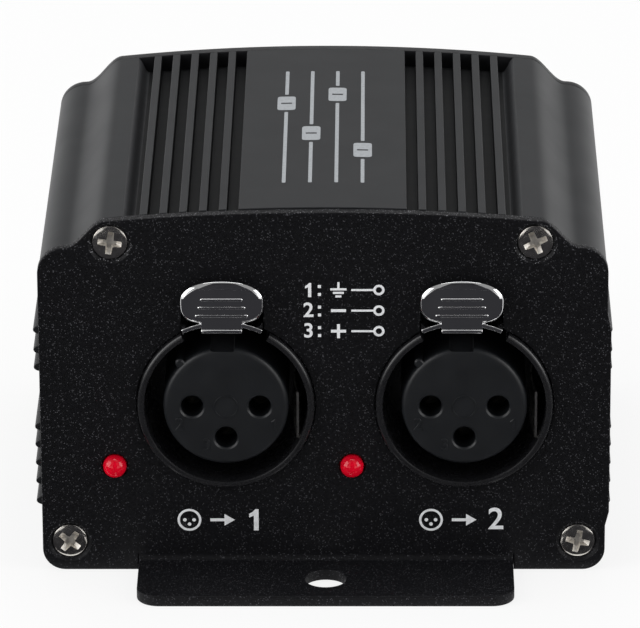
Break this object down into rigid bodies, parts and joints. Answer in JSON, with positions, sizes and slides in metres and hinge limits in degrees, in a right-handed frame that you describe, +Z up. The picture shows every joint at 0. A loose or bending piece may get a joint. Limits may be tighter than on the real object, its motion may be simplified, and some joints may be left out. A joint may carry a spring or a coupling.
{
  "type": "usb dmx interface",
  "caption": "Black finned metal box that links a computer's USB port to stage lighting cables, with round latching sockets, red indicator lamps and bent mounting ears.",
  "frame": {"origin": "on the ground under the middle of the footprint, ears included", "axes": "+X to the right along the front plate, +Y from the front plate to the rear plate, +Z up"},
  "size_m": [0.0772, 0.09, 0.0516],
  "materials": {
    "housing": "satin dark anodised extrusion with fine die lines",
    "plates": "black powder coat with a fine grain",
    "screws": "nickel plated, lightly domed",
    "socket_shells": "moulded black nylon, satin",
    "socket_inserts": "moulded charcoal nylon, fine texture",
    "socket_contacts": "silver plated",
    "ground_springs": "gold flashed leaf",
    "latches": "polished chrome plate",
    "spring_steel": "drawn wire",
    "lamp_lenses": "clear red diffused resin",
    "lamp_legs": "tinned wire",
    "circuit_board": "green solder mask",
    "usb_shell": "nickel plated sheet",
    "usb_insulator": "white moulded plastic",
    "usb_contacts": "gold flashed",
    "chips": "moulded epoxy",
    "crystal_can": "drawn can",
    "capacitor_sleeves": "shrunk sleeve"
  },
  "bodies": {
    "box": {"extruded_housing": "housing", "front_plate": "plates", "rear_plate": "plates", "front_screw_upper_left": "screws", "front_screw_upper_right": "screws", "front_screw_lower_left": "screws", "front_screw_lower_right": "screws", "rear_screw_upper_left": "screws", "rear_screw_upper_right": "screws", "rear_screw_lower_left": "screws", "rear_screw_lower_right": "screws", "xlr_shell_left": "socket_shells", "xlr_shell_right": "socket_shells", "xlr_insert_left": "socket_inserts", "xlr_insert_right": "socket_inserts", "xlr_contact_1_left": "socket_contacts", "xlr_contact_2_left": "socket_contacts", "xlr_contact_3_left": "socket_contacts", "xlr_contact_1_right": "socket_contacts", "xlr_contact_2_right": "socket_contacts", "xlr_contact_3_right": "socket_contacts", "xlr_ground_spring_left": "ground_springs", "xlr_ground_spring_right": "ground_springs", "latch_pin_left": "spring_steel", "latch_pin_right": "spring_steel", "latch_spring_left": "spring_steel", "latch_spring_right": "spring_steel", "lamp_left": "lamp_lenses", "lamp_right": "lamp_lenses", "lamp_leg_short_left": "lamp_legs", "lamp_leg_long_left": "lamp_legs", "lamp_leg_short_right": "lamp_legs", "lamp_leg_long_right": "lamp_legs", "circuit_board": "circuit_board", "usb_shell": "usb_shell", "usb_insulator": "usb_insulator", "usb_contact_1": "usb_contacts", "usb_contact_2": "usb_contacts", "usb_contact_3": "usb_contacts", "usb_contact_4": "usb_contacts", "microcontroller": "chips", "usb_bridge_chip": "chips", "line_driver_left": "chips", "line_driver_right": "chips", "voltage_regulator": "chips", "crystal": "crystal_can", "capacitor_left": "capacitor_sleeves", "capacitor_right": "capacitor_sleeves"},
    "latch_lever_left": {"latch_left": "latches"},
    "latch_lever_right": {"latch_right": "latches"}
  },
  "joints": [
    {"name": "latch_left_push", "type": "hinge", "parent": "box", "child": "latch_lever_left", "pos_m": [-0.01334, -0.0194, 0.0367], "axis": [-1, 0, 0], "range_deg": [0, 9], "stiffness_Nm_per_rad": 0.15, "springref_deg": -5.73, "deforming": ["latch_spring_left"]},
    {"name": "latch_right_push", "type": "hinge", "parent": "box", "child": "latch_lever_right", "pos_m": [0.01839, -0.0194, 0.0367], "axis": [-1, 0, 0], "range_deg": [0, 9], "stiffness_Nm_per_rad": 0.15, "springref_deg": -5.73, "deforming": ["latch_spring_right"]}
  ]
}
